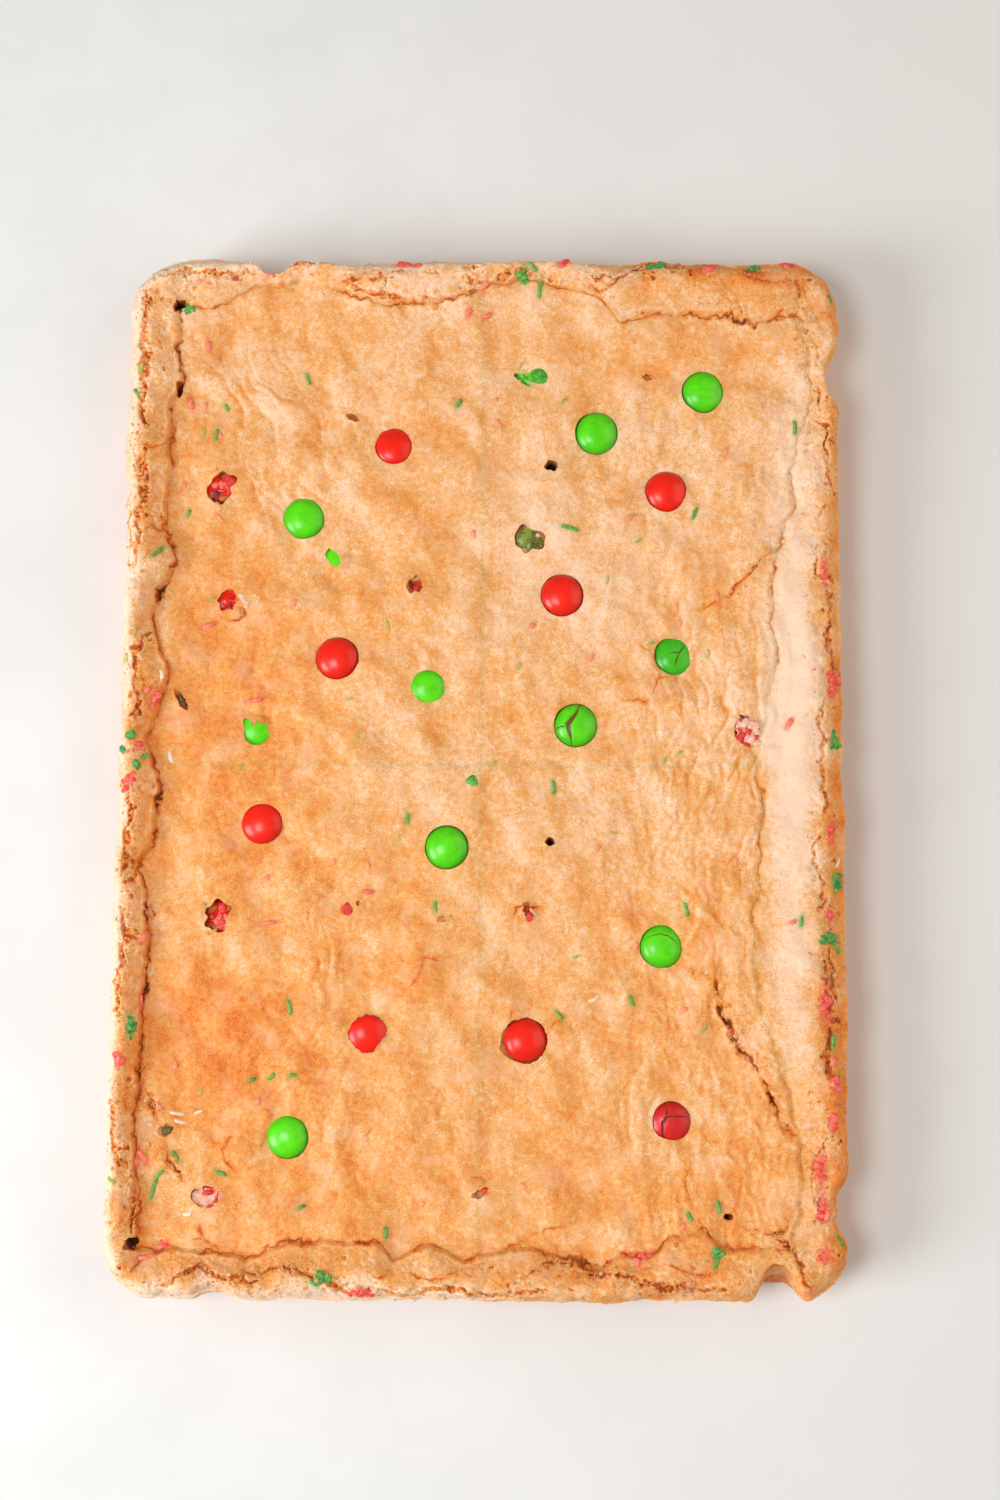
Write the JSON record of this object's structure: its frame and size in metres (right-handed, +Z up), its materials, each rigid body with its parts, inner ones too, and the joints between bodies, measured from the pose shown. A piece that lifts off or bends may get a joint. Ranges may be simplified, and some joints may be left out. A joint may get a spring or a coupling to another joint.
{
  "type": "cookie bar slab",
  "caption": "Rectangular slab of baked cookie bar with a sunken middle and a raised cracked rim, set with round candies and sugar sprinkles.",
  "frame": {"origin": "middle of the flat base, on the surface that the slab rests on", "axes": "+Z up, +Y along the slab's length towards the picture's top, +X across it towards the picture's right"},
  "size_m": [0.23, 0.3309, 0.0268],
  "materials": {
    "crust": "dry baked crust, matt",
    "green_candy": "satin sugar shell",
    "red_candy": "satin sugar shell"
  },
  "bodies": {
    "root": {"slab": "crust", "candy_01": "red_candy", "candy_02": "green_candy", "candy_03": "green_candy", "candy_04": "green_candy", "candy_05": "red_candy", "candy_06": "red_candy", "candy_07": "green_candy", "candy_08": "green_candy", "candy_09": "red_candy", "candy_10": "green_candy", "candy_11": "green_candy", "candy_12": "red_candy", "candy_13": "green_candy", "candy_14": "red_candy", "candy_15": "red_candy", "candy_16": "green_candy", "candy_17": "red_candy", "candy_18": "green_candy", "candy_19": "red_candy", "candy_20": "green_candy", "pit_candy_01": "red_candy", "pit_candy_02": "red_candy", "pit_candy_03": "red_candy", "pit_candy_04": "red_candy", "pit_candy_05": "green_candy", "pit_candy_06": "green_candy"}
  },
  "joints": []
}
